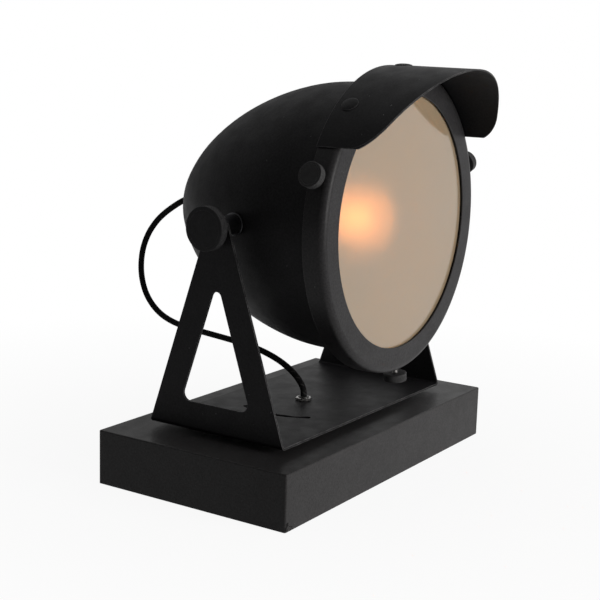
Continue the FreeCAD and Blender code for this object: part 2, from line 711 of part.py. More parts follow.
def thumb_screw(angle):
    tip = COLLAR_RADIUS - BOWL_SHEET - WELD_NUT_THICK - THUMB_TIP_PROUD
    length = THUMB_HEAD_INNER + THUMB_INSERT - tip
    screw = rod(around_lens(angle, tip, THUMB_Y), radial(angle), THUMB_SCREW_RADIUS, length)
    tip_edges = [e for e in screw.Edges if e.Closed and lens_distance(e.CenterOfMass) < tip + 0.1]
    return screw.makeChamfer(THUMB_TIP_CHAMFER, tip_edges)


def lens_distance(point):
    return math.hypot(point.x, point.z - AXIS_Z)


# Visor


def visor():
    """Rolled sheet round the top of the bezel. It narrows a little ahead of the bezel, and its front
    edge is an arc seen from above."""
    rear = BEZEL_REAR + VISOR_OVERHANG
    front = -BEZEL_FRONT - VISOR_REACH
    length = rear - front
    tip = V(0, front, AXIS_Z)
    sheet = tube(V(0, -BEZEL_FRONT, AXIS_Z), Y_AXIS, VISOR_RADIUS, VISOR_INNER_RADIUS, rear + BEZEL_FRONT)
    brim = Part.makeCone(VISOR_RADIUS - VISOR_DROOP, VISOR_RADIUS, VISOR_REACH, tip, Y_AXIS)
    hollow = Part.makeCone(VISOR_INNER_RADIUS - VISOR_DROOP, VISOR_INNER_RADIUS, VISOR_REACH, tip, Y_AXIS)
    sheet = sheet.fuse(brim.cut(hollow))
    edge_rise = VISOR_INNER_RADIUS * math.cos(math.radians(VISOR_HALF_ANGLE))
    rear_half = math.sqrt(VISOR_RADIUS ** 2 - edge_rise ** 2)
    front_half = math.sqrt((VISOR_RADIUS - VISOR_DROOP) ** 2 - edge_rise ** 2)
    outline = Part.makePolygon([
        V(-rear_half, rear, AXIS_Z),
        V(-front_half, front, AXIS_Z),
        V(front_half, front, AXIS_Z),
        V(rear_half, rear, AXIS_Z),
        V(-rear_half, rear, AXIS_Z),
    ])
    plan = Part.Face(outline).extrude(V(0, 0, 2 * VISOR_RADIUS))
    nose_centre = V(0, front + VISOR_FRONT_RADIUS, AXIS_Z)
    plan = plan.common(rod(nose_centre, Z_AXIS, VISOR_FRONT_RADIUS, 2 * VISOR_RADIUS))
    upright = [e for e in plan.Edges if abs(e.tangentAt(e.FirstParameter).z) > 0.9]
    front_corners = [e for e in upright if e.CenterOfMass.y < rear - 1]
    plan = plan.makeFillet(VISOR_CORNER_RADIUS, front_corners)
    sheet = sheet.common(plan)
    keep_corner = V(-2 * VISOR_RADIUS, front, AXIS_Z + edge_rise)
    keep = Part.makeBox(4 * VISOR_RADIUS, length, 2 * VISOR_RADIUS, keep_corner)
    sheet = sheet.common(keep)
    for angle in RIVET_ANGLES:
        start = around_lens(angle, BEZEL_RADIUS, RIVET_Y)
        sheet = sheet.cut(rod(start, radial(angle), RIVET_SHANK_RADIUS, 3 * VISOR_SHEET))
    return sheet


def visor_rivets():
    """Low domed heads on the visor; the tails are closed flush with the inside of the band."""
    drum_start = V(0, RIVET_Y - RIVET_HEAD_RADIUS, AXIS_Z)
    visor_drum = rod(drum_start, Y_AXIS, VISOR_RADIUS, 2 * RIVET_HEAD_RADIUS)
    band_drum = rod(drum_start, Y_AXIS, BAND_INNER_RADIUS, 2 * RIVET_HEAD_RADIUS)
    rivets = []
    for angle in RIVET_ANGLES:
        blank_start = around_lens(angle, BAND_INNER_RADIUS - BAND_SHEET, RIVET_Y)
        blank_length = VISOR_RADIUS + RIVET_HEAD_THICK - BAND_INNER_RADIUS + BAND_SHEET
        head = rod(blank_start, radial(angle), RIVET_HEAD_RADIUS, blank_length)
        crown_edges = [e for e in head.Edges if e.Closed and lens_distance(e.CenterOfMass) > VISOR_RADIUS]
        head = head.makeFillet(RIVET_DOME_RADIUS, crown_edges).cut(visor_drum)
        shank_length = VISOR_RADIUS - BAND_INNER_RADIUS + BAND_SHEET + RIVET_HEAD_THICK / 2
        shank = rod(blank_start, radial(angle), RIVET_SHANK_RADIUS, shank_length)
        rivets.append(head.fuse(shank.cut(band_drum)))
    return group(rivets)


# Tilt pivots and clamp knobs


def pivot_face():
    """Distance from the middle plane to the flat face of a pivot boss."""
    return bowl_radius(0) + PIVOT_BOSS_STAND


def both_sides(make):
    """A piece made by make(side) on the left and on the right, as one node."""
    return group([make(-1), make(1)])


def side_rod(side, near, far, radius):
    return rod(V(side * near, 0, AXIS_Z), X_AXIS * side, radius, far - near)


def side_tube(side, near, far, outer, inner):
    return side_rod(side, near, far, outer).cut(side_rod(side, near, far, inner))


def pivot_bosses():
    filled = dome_filled(0)
    low = bowl_radius(PIVOT_BOSS_RADIUS) - BOWL_SHEET
    def boss(side):
        return side_tube(side, low, pivot_face(), PIVOT_BOSS_RADIUS, STUD_RADIUS).cut(filled)
    return both_sides(boss)


def backing_face():
    return bowl_radius(BACKING_RADIUS) - BOWL_SHEET - BACKING_THICK


def pivot_backings():
    hollow = dome_filled(BOWL_SHEET)
    def backing(side):
        return side_tube(side, backing_face(), pivot_face(), BACKING_RADIUS, STUD_RADIUS).common(hollow)
    return both_sides(backing)


def pivot_nut(side):
    start = V(side * backing_face(), 0, AXIS_Z)
    return hexagon(start, X_AXIS * -side, PIVOT_NUT_FLATS, PIVOT_NUT_THICK, STUD_RADIUS)


def tilt_stud(side):
    inner_end = backing_face() - PIVOT_NUT_THICK - STUD_BEHIND_NUT
    return side_rod(side, inner_end, KNOB_INSERT_END_X - STUD_END_GAP, STUD_RADIUS)


def bush_washer(side):
    near = pivot_face()
    return side_tube(side, near, near + BUSH_WASHER_THICK, BUSH_WASHER_RADIUS, STUD_RADIUS)


def tilt_bush(side):
    near = pivot_face() + BUSH_WASHER_THICK
    return side_tube(side, near, LEG_INNER_X - TILT_BUSH_GAP, TILT_BUSH_RADIUS, STUD_RADIUS)


def knob_washer(side):
    return side_tube(side, LEG_OUTER_X, KNOB_WASHER_OUTER_X, KNOB_WASHER_RADIUS, STUD_RADIUS + RUNNING_GAP)


def knob(side):
    disc = side_rod(side, KNOB_BACK_X, KNOB_FACE_X, KNOB_RADIUS)
    rims = [e for e in disc.Edges if e.Closed and len(e.Vertexes) == 1]
    disc = disc.makeFillet(KNOB_EDGE_RADIUS, rims)
    hub = side_rod(side, KNOB_WASHER_OUTER_X, KNOB_BACK_X, KNOB_HUB_RADIUS)
    return disc.fuse(hub).cut(side_rod(side, KNOB_WASHER_OUTER_X, KNOB_INSERT_END_X, KNOB_INSERT_RADIUS))


def knob_insert(side):
    insert = side_rod(side, KNOB_WASHER_OUTER_X, KNOB_INSERT_END_X, KNOB_INSERT_RADIUS)
    bore_end = KNOB_INSERT_END_X - STUD_END_GAP / 2
    return insert.cut(side_rod(side, KNOB_WASHER_OUTER_X, bore_end, STUD_RADIUS + RUNNING_GAP))


# Lamp stem, holder and bulb


def holder_body():
    bore = CAP_RADIUS + SHELL_GAP + SHELL_WALL + HOLDER_BORE_GAP
    return turned([
        (HOLDER_RADIUS, HOLDER_MOUTH, HOLDER_MOUTH_RADIUS),
        (HOLDER_RADIUS, HOLDER_BACK, 0),
        (0, HOLDER_BACK, 0),
        (0, CAP_END, 0),
        (bore, CAP_END, 0),
        (bore, HOLDER_MOUTH, HOLDER_MOUTH_RADIUS / 3),
    ])


def holder_shell():
    inner = CAP_RADIUS + SHELL_GAP
    return tube(V(0, HOLDER_MOUTH, AXIS_Z), Y_AXIS, inner + SHELL_WALL, inner, CAP_END - HOLDER_MOUTH)


def holder_cap():
    return turned([
        (HOLDER_RADIUS, HOLDER_BACK, 0),
        (HOLDER_RADIUS, HOLDER_BACK + HOLDER_CAP_WALL, HOLDER_CAP_SHOULDER_RADIUS),
        (HOLDER_CAP_NECK_RADIUS, HOLDER_BACK + HOLDER_CAP_WALL, HOLDER_CAP_ROOT_RADIUS),
        (HOLDER_CAP_NECK_RADIUS, HOLDER_CAP_BACK, HOLDER_CAP_END_RADIUS),
        (STEM_RADIUS, HOLDER_CAP_BACK, 0),
        (STEM_RADIUS, HOLDER_BACK, 0),
    ])


def bulb_cap():
    contact = CAP_END - CAP_CONTACT_LENGTH
    return turned([
        (CAP_RADIUS, CAP_START, CAP_EDGE_RADIUS),
        (CAP_RADIUS, contact - CAP_CONE_LENGTH, CAP_EDGE_RADIUS),
        (CAP_CONTACT_RADIUS, contact, 2 * CAP_EDGE_RADIUS),
        (CAP_CONTACT_RADIUS, CAP_END, CAP_EDGE_RADIUS),
        (0, CAP_END, 0),
        (0, CAP_START, 0),
    ])


def bulb_profile(inset):
    """Edges of the bulb's outline, moved inwards: a ball that runs out into the neck."""
    ball = BULB_RADIUS - inset
    neck = BULB_NECK_RADIUS - inset
    centre_y = BULB_TOP + BULB_RADIUS
    end = V(neck, CAP_START, AXIS_Z)
    top = V(0, centre_y - ball, AXIS_Z)
    equator = V(ball, centre_y, AXIS_Z)
    diagonal = ball * math.sqrt(0.5)
    nose = Part.Arc(top, V(diagonal, centre_y - diagonal, AXIS_Z), equator).toShape()
    flank = Part.BezierCurve()
    reach = (end.y - centre_y) / 2
    flank.setPoles([equator, equator + Y_AXIS * reach, end - Y_AXIS * reach, end])
    return top, end, nose, flank.toShape()


def bulb_glass():
    top, end, nose, flank = bulb_profile(0)
    inner_top, inner_end, inner_nose, inner_flank = bulb_profile(BULB_WALL)
    rim = Part.makeLine(end, inner_end)
    wall = Part.makeLine(inner_top, top)
    edges = Part.__sortEdges__([nose, flank, rim, inner_flank, inner_nose, wall])
    return Part.Face(Part.Wire(edges)).revolve(V(0, 0, AXIS_Z), Y_AXIS, 360)


def lamp_stem():
    length = LAMP_STEM_END - LAMP_STEM_START
    return tube(V(0, LAMP_STEM_START, AXIS_Z), Y_AXIS, STEM_RADIUS, STEM_BORE_RADIUS, length)


# Cords


def cord_tube(name, route, diameter):
    """Straight runs joined by tangent arcs, each arc as large as its two runs allow."""
    edges = []
    radii = []
    last = route[0]
    for index in range(1, len(route) - 1):
        before, corner, after = route[index - 1 : index + 2]
        half_turn = (corner - before).getAngle(after - corner) / 2
        shorter = min((corner - before).Length, (after - corner).Length)
        radius = CORD_ARC_SHARE * shorter / math.tan(half_turn)
        first, following, arc = corner_arc(before, corner, after, radius)
        edges.append(Part.LineSegment(last, first).toShape())
        edges.append(arc)
        radii.append(radius)
        last = following
    edges.append(Part.LineSegment(last, route[-1]).toShape())
    path = Part.Wire(edges)
    start_direction = route[1] - route[0]
    section = Part.Wire([Part.Circle(route[0], start_direction, diameter / 2).toShape()])
    cord = path.makePipeShell([section], True, False)
    expected = math.pi * diameter**2 / 4 * path.Length
    share = cord.Volume / expected
    print("%s: length %.1f, volume %.4f of its section times its length" % (name, path.Length, share))
    print("%s: radii %s" % (name, ", ".join("%.0f" % radius for radius in radii)))
    return cord


def base_lead():
    """From the top of the swivel stem straight down its bore and across to the terminal block."""
    low = COVER_TOP + LEAD_COVER_GAP + CORD_DIAMETER / 2
    below_stem = STEM_BOTTOM - LEAD_BEND_DROP
    route = [
        V(0, 0, STEM_TOP),
        V(0, 0, below_stem),
        V(LEAD_BEND_X, LEAD_BEND_Y, low),
        V(LEAD_SQUARE_X, BLOCK_Y, low),
        V(BLOCK_X, BLOCK_Y, low),
    ]
    return cord_tube("base_lead", route, CORD_DIAMETER)


def head_lead():
    start = V(0, HOLDER_BACK, AXIS_Z)
    return rod(start, Y_AXIS, CORD_DIAMETER / 2, LAMP_STEM_END - HOLDER_BACK)


def build():
    os.makedirs("parts", exist_ok=True)

    save("base_housing", base_housing())
    save("base_cover", flat_sheet(PAD_THICK, COVER_THICK, COVER_SCREW_RADIUS))
    save("base_pad", flat_sheet(0, PAD_THICK, COVER_SCREW_HEAD_RADIUS + PAD_HOLE_GAP))
    save("cover_screws", cover_screws())
    save("swivel_bush", swivel_bush())
    spacer_start = V(0, 0, BASE_TOP)
    save("swivel_spacer", tube(spacer_start, Z_AXIS, SPACER_RADIUS, BUSH_RADIUS, YOKE_LIFT))
    save("stop_pin", stop_pin())
    save("inlet_grommet", inlet_grommet())
    save("terminal_block", terminal_block())
    save("terminal_screws", terminal_screws())
    save("base_lead", base_lead())

    save("yoke_bracket", yoke_bracket())
    stem_length = STEM_TOP - STEM_BOTTOM
    save("swivel_stem", tube(V(0, 0, STEM_BOTTOM), Z_AXIS, STEM_RADIUS, STEM_BORE_RADIUS, stem_length))
    save("swivel_top_nut", hexagon(V(0, 0, PLATE_TOP), Z_AXIS, NUT_FLATS, NUT_THICK, STEM_RADIUS))
    washer_start = V(0, 0, SPRING_WASHER_BOTTOM)
    washer = tube(washer_start, Z_AXIS, SPRING_WASHER_RADIUS, STEM_RADIUS, SPRING_WASHER_THICK)
    save("swivel_spring_washer", washer)
    lock_start = V(0, 0, LOCK_NUT_BOTTOM)
    save("swivel_lock_nut", hexagon(lock_start, Z_AXIS, LOCK_NUT_FLATS, LOCK_NUT_THICK, STEM_RADIUS))

    save("bowl_shell", bowl_shell())
    save("pivot_bosses", pivot_bosses())
    save("pivot_backings", pivot_backings())
    save("pivot_nuts", both_sides(pivot_nut))
    save("tilt_studs", both_sides(tilt_stud))
    save("tilt_bushes", both_sides(tilt_bush))
    save("bush_washers", both_sides(bush_washer))
    save("knob_washers", both_sides(knob_washer))
    save("bezel_ring", bezel_ring())
    save("front_gasket", front_gasket())
    save("front_glass", front_glass())
    save("rear_gasket", rear_gasket())
    save("weld_nuts", group([weld_nut(angle) for angle in THUMB_ANGLES.values()]))
    save("visor", visor())
    save("visor_rivets", visor_rivets())

    save("lamp_stem", lamp_stem())
    rear_start = V(0, BOWL_TIP, AXIS_Z)
    save("stem_rear_nut", hexagon(rear_start, Y_AXIS, NUT_FLATS, NUT_THICK, STEM_RADIUS))
    inner_start = V(0, BOWL_TIP - BOWL_SHEET, AXIS_Z)
    save("stem_inner_nut", hexagon(inner_start, -Y_AXIS, NUT_FLATS, NUT_THICK, STEM_RADIUS))
    save("holder_cap", holder_cap())
    save("holder_body", holder_body())
    save("holder_shell", holder_shell())
    save("bulb_cap", bulb_cap())
    save("bulb_glass", bulb_glass())
    save("head_lead", head_lead())

    for name, side in (("left", -1), ("right", 1)):
        save("knob_" + name, knob(side))
        save("knob_insert_" + name, knob_insert(side))
    for name, angle in THUMB_ANGLES.items():
        save("thumb_head_" + name, thumb_head(angle))
        save("thumb_screw_" + name, thumb_screw(angle))
    save("lamp_cord", cord_tube("lamp_cord", CORD_ROUTE, CORD_DIAMETER))


build()
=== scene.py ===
"""A tabletop searchlight lamp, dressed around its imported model. Metres, +Z up, the lens faces -Y."""

import json
import math

import bmesh
import bpy
from mathutils import Matrix, Vector


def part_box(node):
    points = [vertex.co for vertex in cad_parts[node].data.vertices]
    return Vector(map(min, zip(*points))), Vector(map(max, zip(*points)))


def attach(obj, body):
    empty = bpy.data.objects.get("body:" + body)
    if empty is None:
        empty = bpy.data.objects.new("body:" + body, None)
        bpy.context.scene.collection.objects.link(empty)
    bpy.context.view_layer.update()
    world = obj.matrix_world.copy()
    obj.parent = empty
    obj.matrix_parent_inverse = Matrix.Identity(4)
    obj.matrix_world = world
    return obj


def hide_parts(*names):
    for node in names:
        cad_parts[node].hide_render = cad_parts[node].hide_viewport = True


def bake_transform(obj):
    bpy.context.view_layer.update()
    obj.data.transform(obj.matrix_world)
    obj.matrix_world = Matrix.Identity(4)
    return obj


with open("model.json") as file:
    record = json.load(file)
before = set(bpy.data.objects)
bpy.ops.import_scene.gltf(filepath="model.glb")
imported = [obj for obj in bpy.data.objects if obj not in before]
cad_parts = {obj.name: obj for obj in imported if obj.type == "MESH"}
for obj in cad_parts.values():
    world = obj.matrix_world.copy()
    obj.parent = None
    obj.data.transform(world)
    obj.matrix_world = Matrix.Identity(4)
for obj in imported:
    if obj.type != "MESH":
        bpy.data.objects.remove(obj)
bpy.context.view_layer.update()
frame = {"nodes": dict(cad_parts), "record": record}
nodes = frame["nodes"]

X = Vector((1, 0, 0))
Y = Vector((0, 1, 0))
Z = Vector((0, 0, 1))
MM = 0.001


def box_centre(name):
    low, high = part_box(name)
    return (low + high) / 2


# Places that the pieces are built around
TILT_AXIS = box_centre("tilt_studs")
LENS_CENTRE = box_centre("front_glass")


# Camera: the photograph's view

CAMERA_PLACE = Vector((-1.000708, -0.644372, 0.384730))
CAMERA_AZIMUTH = math.radians(-56.925)
CAMERA_ELEVATION = math.radians(10.952)
CAMERA_ROLL = math.radians(1.655)
CAMERA_LENS = 76.98
CAMERA_SENSOR = 36.0


def add_camera():
    """The view looks along +Y at azimuth 0, and down from its elevation."""
    level = math.cos(CAMERA_ELEVATION)
    back = Vector(
        (math.sin(CAMERA_AZIMUTH) * level, -math.cos(CAMERA_AZIMUTH) * level, math.sin(CAMERA_ELEVATION))
    )
    level_right = Vector((math.cos(CAMERA_AZIMUTH), math.sin(CAMERA_AZIMUTH), 0))
    level_up = back.cross(level_right)
    right = level_right * math.cos(CAMERA_ROLL) + level_up * math.sin(CAMERA_ROLL)
    up = level_up * math.cos(CAMERA_ROLL) - level_right * math.sin(CAMERA_ROLL)
    data = bpy.data.cameras.new("camera")
    data.lens = CAMERA_LENS
    data.sensor_width = CAMERA_SENSOR
    data.sensor_fit = "HORIZONTAL"
    camera = bpy.data.objects.new("camera", data)
    camera.matrix_world = Matrix(
        (
            (right.x, up.x, back.x, CAMERA_PLACE.x),
            (right.y, up.y, back.y, CAMERA_PLACE.y),
            (right.z, up.z, back.z, CAMERA_PLACE.z),
            (0, 0, 0, 1),
        )
    )
    bpy.context.scene.collection.objects.link(camera)
    bpy.context.scene.camera = camera


# Material tools


class Tree:
    """Makes and links the nodes of one node tree."""

    def __init__(self, tree):
        self.tree = tree

    def feed(self, socket, value):
        if isinstance(value, bpy.types.NodeSocket):
            self.tree.links.new(value, socket)
        else:
            socket.default_value = value

    def node(self, kind, values=(), **settings):
        made = self.tree.nodes.new("ShaderNode" + kind)
        for key, value in settings.items():
            setattr(made, key, value)
        for key, value in dict(values).items():
            self.feed(made.inputs[key], value)
        return made

    def remap(self, value, low, high, to_low=0.0, to_high=1.0):
        values = {"Value": value, "From Min": low, "From Max": high, "To Min": to_low, "To Max": to_high}
        return self.node("MapRange", values).outputs["Result"]

    def math(self, operation, first, second):
        return self.node("Math", {0: first, 1: second}, operation=operation).outputs[0]

    def mix(self, share, first, second):
        return self.node("Mix", {0: share, 6: first, 7: second}, data_type="RGBA").outputs[2]

    def mix_value(self, share, first, second):
        return self.node("Mix", {0: share, 2: first, 3: second}, data_type="FLOAT").outputs[0]

    def dot(self, vector, direction):
        values = {0: vector, 1: direction}
        return self.node("VectorMath", values, operation="DOT_PRODUCT").outputs["Value"]


class Shader(Tree):
    """A node material under construction: one Principled shader and what feeds it."""

    def __init__(self, name):
        self.material = bpy.data.materials.new(name)
        self.material.use_nodes = True
        super().__init__(self.material.node_tree)
        self.surface = self.tree.nodes["Principled BSDF"]
        self.output = self.tree.nodes["Material Output"]

    def set(self, **values):
        """Sets sockets of the shader: base_color stands for Base Color."""
        for key, value in values.items():
            self.feed(self.surface.inputs[key.replace("_", " ").title().replace("Ior", "IOR")], value)

    def place(self):
        """The piece's own coordinates, which are the lamp's at rest."""
        return self.node("TexCoord").outputs["Object"]

    def noise(self, scale, detail=3.0, roughness=0.55):
        values = {"Vector": self.place(), "Scale": scale, "Detail": detail, "Roughness": roughness}
        return self.node("TexNoise", values).outputs["Fac"]

    def varied(self, least, most, scale, detail=3.0, roughness=0.55):
        """A noise that mostly lies between two values."""
        return self.remap(self.noise(scale, detail, roughness), 0.3, 0.7, least, most)

    def scaled(self, colour, factor):
        values = {0: colour[:3], "Scale": factor}
        return self.node("VectorMath", values, operation="SCALE").outputs["Vector"]

    def bump(self, height, distance, strength):
        values = {"Height": height, "Distance": distance, "Strength": strength}
        return self.node("Bump", values).outputs["Normal"]

    def edges(self, radius, sharpness):
        """1 along sharp edges, 0 on open faces."""
        eased = self.node("Bevel", {"Radius": radius}, samples=6).outputs["Normal"]
        flat = self.node("NewGeometry").outputs["Normal"]
        return self.remap(self.dot(eased, flat), 1.0, 1.0 - 1.0 / sharpness)


def rgb(r, g, b):
    return (r, g, b, 1.0)


def shifted(colour, factor, added=0.0):
    """A colour made lighter or darker by a factor, then raised by the same amount in each channel."""
    return rgb(*(channel * factor + added for channel in colour[:3]))


def rubbed_and_highlit(shader, base, pale, edges, rub_and_highlight, wear_and_highlight):
    """The base colour, paler along edges: partly worn paint, partly a painted highlight where edges catch
    the light.
    """
    share = shader.math("MULTIPLY", edges, rub_and_highlight)
    return shader.mix(shader.math("MULTIPLY", share, wear_and_highlight), base, pale)


# Materials

BOWL_LINING = rgb(0.27, 0.26, 0.25)
# How much paler edges are: partly worn paint, partly a painted highlight where edges catch the light.
WEAR_AND_HIGHLIGHT_FACTOR = 2.0
PAINT_EDGE = 1.2 * MM
PAINT_GRAIN = 0.12 * MM
PLASTIC_EDGE = 0.6 * MM
PLASTIC_WEAR_AND_HIGHLIGHT = 0.05
PLASTIC_GRAIN = 0.06 * MM
METAL_GRAIN = 0.03 * MM


def facing_inward(shader):
    """1 on faces of the head that look towards the tilt axis."""
    axis = tuple(-value for value in TILT_AXIS)
    arm = shader.node("VectorMath", {0: shader.place(), 1: axis}, operation="ADD").outputs["Vector"]
    normal = shader.node("TexCoord").outputs["Normal"]
    return shader.math("LESS_THAN", shader.dot(arm, normal), 0.0)


def enamel(name, colour, roughness, gloss, wear_and_highlight, bare=0.045, lining=None):
    """Fine powder coat: an even dark colour, orange-peel grain, dust, and paler edges that are partly worn
    paint and partly a painted highlight where edges catch the light.

    Bare is how much paler those edges are, and a lining is the colour of the inside."""
    shader = Shader(name)
    cloud = shader.varied(0.9, 1.1, 14.0, 4.0)
    fine = shader.varied(0.68, 1.32, 560.0, 3.0, 0.65)
    base = shader.scaled(colour, shader.math("MULTIPLY", cloud, fine))
    pale = shifted(colour, WEAR_AND_HIGHLIGHT_FACTOR, bare)
    dust = shader.remap(shader.noise(260.0, 2.0, 0.6), 0.745, 0.78, 0.0, 0.8)
    base = shader.mix(dust, base, pale)
    # Paler edges: partly worn paint, partly a painted highlight along edges that catch the light.
    rub_and_highlight = shader.remap(shader.noise(70.0, 5.0, 0.72), 0.36, 0.62, 0.15, 1.0)
    base = rubbed_and_highlit(shader, base, pale, shader.edges(PAINT_EDGE, 9.0), rub_and_highlight, wear_and_highlight)
    if lining:
        base = shader.mix(facing_inward(shader), base, lining)
    patchy = shader.varied(roughness - 0.05, roughness + 0.06, 60.0)
    shader.set(base_color=base, roughness=patchy, specular_ior_level=gloss)
    shader.set(normal=shader.bump(shader.noise(1100.0, 2.0, 0.5), PAINT_GRAIN, 0.65))
    return shader.material


def metal(name, colour, roughness):
    """Plated or bare metal with darker patches and a fine grain."""
    shader = Shader(name)
    mottle = shader.remap(shader.noise(90.0, 4.0), 0.35, 0.7)
    shader.set(base_color=shader.mix(mottle, colour, shifted(colour, 0.72)))
    shader.set(roughness=shader.varied(roughness - 0.06, roughness + 0.08, 180.0))
    shader.set(normal=shader.bump(shader.noise(400.0), METAL_GRAIN, 0.5), metallic=1.0)
    return shader.material


def plastic(name, colour, roughness, gloss=0.3, wear_and_highlight=0.0):
    """Moulded plastic or rubber, paler on edges as worn plastic and as a painted highlight."""
    shader = Shader(name)
    mottle = shader.remap(shader.noise(220.0, 4.0, 0.65), 0.35, 0.7)
    base = shader.mix(mottle, colour, shifted(colour, 1.45))
    if wear_and_highlight:
        # Paler edges: partly worn plastic, partly a painted highlight along edges that catch the light.
        pale = shifted(colour, WEAR_AND_HIGHLIGHT_FACTOR, PLASTIC_WEAR_AND_HIGHLIGHT)
        rub_and_highlight = shader.remap(shader.noise(380.0, 3.0, 0.7), 0.35, 0.62)
        base = rubbed_and_highlit(shader, base, pale, shader.edges(PLASTIC_EDGE, 5.0), rub_and_highlight, wear_and_highlight)
    shader.set(base_color=base, specular_ior_level=gloss)
    shader.set(roughness=shader.varied(roughness - 0.05, roughness + 0.05, 120.0))
    shader.set(normal=shader.bump(shader.noise(900.0), PLASTIC_GRAIN, 0.6))
    return shader.material


# The glass's tan is partly its own tint and partly painted warm light from the bulb inside the head.
GLASS_TAN_AND_PAINTED_GLOW = rgb(0.58, 0.44, 0.28)
GLASS_CLEARER_TAN_AND_PAINTED_GLOW = rgb(0.56, 0.44, 0.30)
POLISH = 0.10


def frosted_glass():
    """Polished in front, sand-blasted behind, and tan; the tan is partly painted warm light from the bulb
    inside.
    """
    shader = Shader("frosted_glass")
    tint_and_glow = shader.mix(shader.remap(shader.noise(9.0), 0.35, 0.65), GLASS_TAN_AND_PAINTED_GLOW, GLASS_CLEARER_TAN_AND_PAINTED_GLOW)
    low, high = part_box("front_glass")
    thick = high.y - low.y
    depth = shader.node("SeparateXYZ", {0: shader.place()}).outputs["Y"]
    frost = shader.varied(0.42, 0.50, 700.0, 3.0, 0.6)
    behind = shader.remap(depth, low.y + 0.3 * thick, low.y + 0.7 * thick)
    shader.set(base_color=tint_and_glow, roughness=shader.mix_value(behind, POLISH, frost), ior=1.45)
    shader.set(transmission_weight=0.5, specular_ior_level=0.1)
    shader.set(coat_weight=0.65, coat_roughness=0.02, coat_ior=1.6)
    return shader.material


LAMP_GLOW = (1.0, 0.47, 0.19)
GLASS_GLOW_STRENGTH = 1.3
CORE_GLOW_STRENGTH = 48.0
CORE_GLOW_END = 1.4
CORE_RADIUS = 12.5 * MM
CORE_SET = 13 * MM
CORE_STALK_RADIUS = 5 * MM
CORE_STEPS = 16
CORE_SIDES = 48


def core_centre():
    """Middle of the bulb's glowing head, a little behind the middle of its globe."""
    low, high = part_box("bulb_glass")
    return Vector((0, low.y + (high.z - low.z) / 2 + CORE_SET, (low.z + high.z) / 2))


def opal_glass():
    """Frosted bulb that glows a little all over and passes on the light of its core."""
    shader = Shader("bulb_opal")
    glow = shader.scaled(LAMP_GLOW, shader.varied(0.92, 1.0, 120.0))
    shader.set(base_color=rgb(1.0, 0.86, 0.66), roughness=shader.varied(0.36, 0.42, 300.0))
    shader.set(transmission_weight=1.0, ior=1.3)
    shader.set(emission_color=glow, emission_strength=GLASS_GLOW_STRENGTH)
    return shader.material


def lamp_core():
    """Glowing round head; its stalk stays dark."""
    shader = Shader("bulb_core")
    values = {0: shader.place(), 1: core_centre()}
    away = shader.node("VectorMath", values, operation="DISTANCE").outputs["Value"]
    share = shader.remap(away, CORE_RADIUS, CORE_GLOW_END * CORE_RADIUS, 1.0, 0.0)
    glow = shader.scaled(LAMP_GLOW, shader.math("MULTIPLY", share, shader.varied(0.94, 1.0, 200.0)))
    shader.set(base_color=rgb(0.8, 0.78, 0.74), roughness=0.5)
    shader.set(emission_color=glow, emission_strength=CORE_GLOW_STRENGTH)
    return shader.material


DARK_YARN = rgb(0.006, 0.006, 0.0065)
PALE_YARN = rgb(0.045, 0.043, 0.041)
FIBRE = rgb(0.02, 0.02, 0.02)
FIBRE_RELIEF = 0.1 * MM


def braid():
    """Mostly dark yarns and a few pale ones; the tube's own relief carries the weave."""
    shader = Shader("cord_braid")
    yarn = shader.node("Attribute", attribute_name="yarn").outputs["Fac"]
    fibre = shader.noise(2500.0, 2.0, 0.7)
    colour = shader.mix(yarn, DARK_YARN, PALE_YARN)
    colour = shader.mix(shader.remap(fibre, 0.4, 0.7, 0.0, 0.3), colour, FIBRE)
    shader.set(base_color=colour, roughness=0.85, specular_ior_level=0.1)
    shader.set(normal=shader.bump(fibre, FIBRE_RELIEF, 0.6))
    return shader.material


